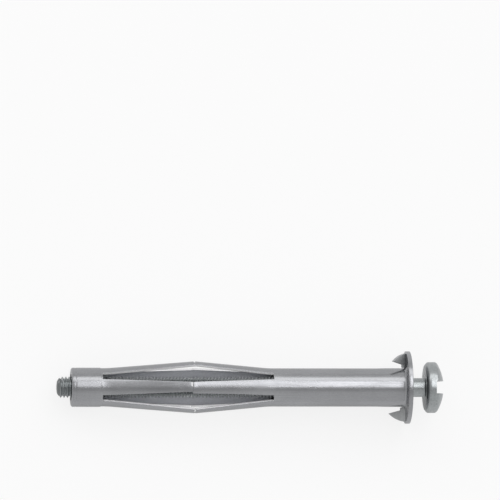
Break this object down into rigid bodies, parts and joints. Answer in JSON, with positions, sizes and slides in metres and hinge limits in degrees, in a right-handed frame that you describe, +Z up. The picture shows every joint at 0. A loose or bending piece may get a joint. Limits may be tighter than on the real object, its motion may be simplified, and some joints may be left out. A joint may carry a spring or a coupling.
{
  "type": "metal hollow wall anchor",
  "caption": "Metal hollow wall anchor: slit sheet sleeve with waisted folding legs, pronged flange, captive nut and slotted pan head screw.",
  "frame": {"origin": "on the surface that the anchor lies on, under the middle of its bounding box", "axes": "+X from the nut end towards the screw head, +Z up; the anchor's own axis leans 2.85 degrees up towards +X"},
  "size_m": [0.0913, 0.017, 0.017],
  "materials": {
    "sleeve": "zinc plated sheet, satin, faint drawing lines",
    "nut": "zinc plated, dull",
    "screw": "bright zinc plated, slightly blue"
  },
  "bodies": {
    "sleeve": {"anchor_sleeve": "sleeve", "threaded_nut": "nut"},
    "screw": {"machine_screw": "screw"}
  },
  "joints": [
    {"name": "screw_travel", "type": "slide", "parent": "sleeve", "child": "screw", "axis": [0.9988, 0, 0.0497], "range_m": [-0.0032, 0.0096]}
  ]
}
